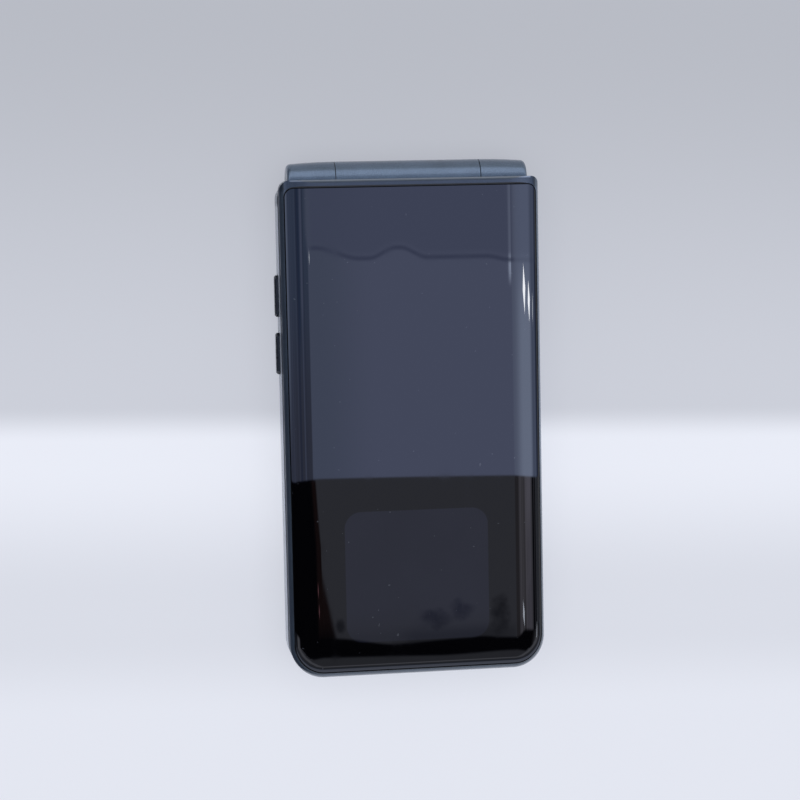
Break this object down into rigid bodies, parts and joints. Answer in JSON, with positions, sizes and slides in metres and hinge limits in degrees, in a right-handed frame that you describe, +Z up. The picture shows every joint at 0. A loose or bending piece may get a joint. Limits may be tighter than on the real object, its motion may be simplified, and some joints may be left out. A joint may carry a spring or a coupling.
{
  "type": "flip phone",
  "caption": "Clamshell phone with a bent glass outer lid, inner display, keypad half with side keys and a hinge barrel across one end",
  "frame": {"origin": "under the middle of the closed phone, on the surface that it rests on", "axes": "+X across the width to the phone's right, +Y along the length towards the hinge, +Z up through the closed lid"},
  "size_m": [0.0642, 0.1238, 0.0172],
  "materials": {
    "frame_paint": "satin",
    "outer_glass": "gloss",
    "window_glass": "gloss",
    "display_black": "gloss",
    "pressed_steel": "satin",
    "inner_cover_plastic": "satin",
    "keypad_cover_paint": "satin",
    "mid_frame_paint": "satin",
    "back_cover_paint": "satin",
    "key_plastic": "satin",
    "key_metal": "satin",
    "side_key_paint": "satin",
    "board_green": "satin",
    "machined_steel": "satin",
    "spring_steel": "polished",
    "magnet": "satin",
    "battery_wrap": "satin",
    "black_plastic": "matte",
    "flex_film": "satin",
    "mesh_steel": "matte",
    "bumper_rubber": "matte",
    "lens_glass": "gloss",
    "flash_lens": "gloss"
  },
  "bodies": {
    "base": {"base_front_cover": "keypad_cover_paint", "base_mid_frame": "mid_frame_paint", "battery": "battery_wrap", "battery_contacts": "black_plastic", "battery_cover": "back_cover_paint", "camera_window": "lens_glass", "card_socket": "pressed_steel", "case_screws": "machined_steel", "flash_window": "flash_lens", "headphone_jack": "black_plastic", "hinge_bush": "black_plastic", "hinge_flex": "flex_film", "hinge_shaft": "machined_steel", "key_dome_sheet": "flex_film", "loudspeaker": "black_plastic", "main_board": "board_green", "microphone": "machined_steel", "rear_camera": "black_plastic", "shield_cans": "pressed_steel", "side_switches": "black_plastic", "usb_connector": "machined_steel", "vibration_motor": "machined_steel"},
    "lid": {"lid_frame": "frame_paint", "front_glass": "outer_glass", "sub_display": "display_black", "lid_chassis": "pressed_steel", "main_display": "display_black", "display_window": "window_glass", "lid_inner_cover": "inner_cover_plastic", "earpiece": "black_plastic", "earpiece_mesh": "mesh_steel", "front_camera": "black_plastic", "lid_board": "board_green", "lid_magnet": "magnet", "lid_bumpers": "bumper_rubber", "hinge_case": "black_plastic", "hinge_cam": "machined_steel", "hinge_spring": "spring_steel"},
    "key_1_body": {"key_1": "key_plastic"},
    "key_2_body": {"key_2": "key_plastic"},
    "key_3_body": {"key_3": "key_plastic"},
    "key_4_body": {"key_4": "key_plastic"},
    "key_5_body": {"key_5": "key_plastic"},
    "key_6_body": {"key_6": "key_plastic"},
    "key_7_body": {"key_7": "key_plastic"},
    "key_8_body": {"key_8": "key_plastic"},
    "key_9_body": {"key_9": "key_plastic"},
    "key_star_body": {"key_star": "key_plastic"},
    "key_0_body": {"key_0": "key_plastic"},
    "key_hash_body": {"key_hash": "key_plastic"},
    "left_soft_key_body": {"left_soft_key": "key_plastic"},
    "right_soft_key_body": {"right_soft_key": "key_plastic"},
    "call_key_body": {"call_key": "key_plastic"},
    "end_key_body": {"end_key": "key_plastic"},
    "clear_key_body": {"clear_key": "key_plastic"},
    "nav_ring_body": {"nav_ring": "key_metal"},
    "ok_key_body": {"ok_key": "key_metal"},
    "volume_up_key_body": {"volume_up_key": "side_key_paint"},
    "volume_down_key_body": {"volume_down_key": "side_key_paint"},
    "quick_key_body": {"quick_key": "side_key_paint"}
  },
  "joints": [
    {"name": "lid_hinge", "type": "hinge", "parent": "base", "child": "lid", "pos_m": [0, 0.05735, 0.0085], "axis": [-1, 0, 0], "range_deg": [0, 160]},
    {"name": "key_1_press", "type": "slide", "parent": "base", "child": "key_1_body", "axis": [0, 0, -1], "range_m": [0, 0.0003], "stiffness_N_per_m": 60, "springref_m": -0.0015},
    {"name": "key_2_press", "type": "slide", "parent": "base", "child": "key_2_body", "axis": [0, 0, -1], "range_m": [0, 0.0003], "stiffness_N_per_m": 60, "springref_m": -0.0015},
    {"name": "key_3_press", "type": "slide", "parent": "base", "child": "key_3_body", "axis": [0, 0, -1], "range_m": [0, 0.0003], "stiffness_N_per_m": 60, "springref_m": -0.0015},
    {"name": "key_4_press", "type": "slide", "parent": "base", "child": "key_4_body", "axis": [0, 0, -1], "range_m": [0, 0.0003], "stiffness_N_per_m": 60, "springref_m": -0.0015},
    {"name": "key_5_press", "type": "slide", "parent": "base", "child": "key_5_body", "axis": [0, 0, -1], "range_m": [0, 0.0003], "stiffness_N_per_m": 60, "springref_m": -0.0015},
    {"name": "key_6_press", "type": "slide", "parent": "base", "child": "key_6_body", "axis": [0, 0, -1], "range_m": [0, 0.0003], "stiffness_N_per_m": 60, "springref_m": -0.0015},
    {"name": "key_7_press", "type": "slide", "parent": "base", "child": "key_7_body", "axis": [0, 0, -1], "range_m": [0, 0.0003], "stiffness_N_per_m": 60, "springref_m": -0.0015},
    {"name": "key_8_press", "type": "slide", "parent": "base", "child": "key_8_body", "axis": [0, 0, -1], "range_m": [0, 0.0003], "stiffness_N_per_m": 60, "springref_m": -0.0015},
    {"name": "key_9_press", "type": "slide", "parent": "base", "child": "key_9_body", "axis": [0, 0, -1], "range_m": [0, 0.0003], "stiffness_N_per_m": 60, "springref_m": -0.0015},
    {"name": "key_star_press", "type": "slide", "parent": "base", "child": "key_star_body", "axis": [0, 0, -1], "range_m": [0, 0.0003], "stiffness_N_per_m": 60, "springref_m": -0.0015},
    {"name": "key_0_press", "type": "slide", "parent": "base", "child": "key_0_body", "axis": [0, 0, -1], "range_m": [0, 0.0003], "stiffness_N_per_m": 60, "springref_m": -0.0015},
    {"name": "key_hash_press", "type": "slide", "parent": "base", "child": "key_hash_body", "axis": [0, 0, -1], "range_m": [0, 0.0003], "stiffness_N_per_m": 60, "springref_m": -0.0015},
    {"name": "left_soft_key_press", "type": "slide", "parent": "base", "child": "left_soft_key_body", "axis": [0, 0, -1], "range_m": [0, 0.0003], "stiffness_N_per_m": 60, "springref_m": -0.0015},
    {"name": "right_soft_key_press", "type": "slide", "parent": "base", "child": "right_soft_key_body", "axis": [0, 0, -1], "range_m": [0, 0.0003], "stiffness_N_per_m": 60, "springref_m": -0.0015},
    {"name": "call_key_press", "type": "slide", "parent": "base", "child": "call_key_body", "axis": [0, 0, -1], "range_m": [0, 0.0003], "stiffness_N_per_m": 60, "springref_m": -0.0015},
    {"name": "end_key_press", "type": "slide", "parent": "base", "child": "end_key_body", "axis": [0, 0, -1], "range_m": [0, 0.0003], "stiffness_N_per_m": 60, "springref_m": -0.0015},
    {"name": "clear_key_press", "type": "slide", "parent": "base", "child": "clear_key_body", "axis": [0, 0, -1], "range_m": [0, 0.0003], "stiffness_N_per_m": 60, "springref_m": -0.0015},
    {"name": "nav_ring_press", "type": "slide", "parent": "base", "child": "nav_ring_body", "axis": [0, 0, -1], "range_m": [0, 0.0003], "stiffness_N_per_m": 60, "springref_m": -0.0015},
    {"name": "ok_key_press", "type": "slide", "parent": "base", "child": "ok_key_body", "axis": [0, 0, -1], "range_m": [0, 0.0003], "stiffness_N_per_m": 60, "springref_m": -0.0015},
    {"name": "volume_up_key_press", "type": "slide", "parent": "base", "child": "volume_up_key_body", "axis": [1, 0, 0], "range_m": [0, 0.0004], "stiffness_N_per_m": 15, "springref_m": -0.002},
    {"name": "volume_down_key_press", "type": "slide", "parent": "base", "child": "volume_down_key_body", "axis": [1, 0, 0], "range_m": [0, 0.0004], "stiffness_N_per_m": 15, "springref_m": -0.002},
    {"name": "quick_key_press", "type": "slide", "parent": "base", "child": "quick_key_body", "axis": [-1, 0, 0], "range_m": [0, 0.0004], "stiffness_N_per_m": 15, "springref_m": -0.002}
  ]
}
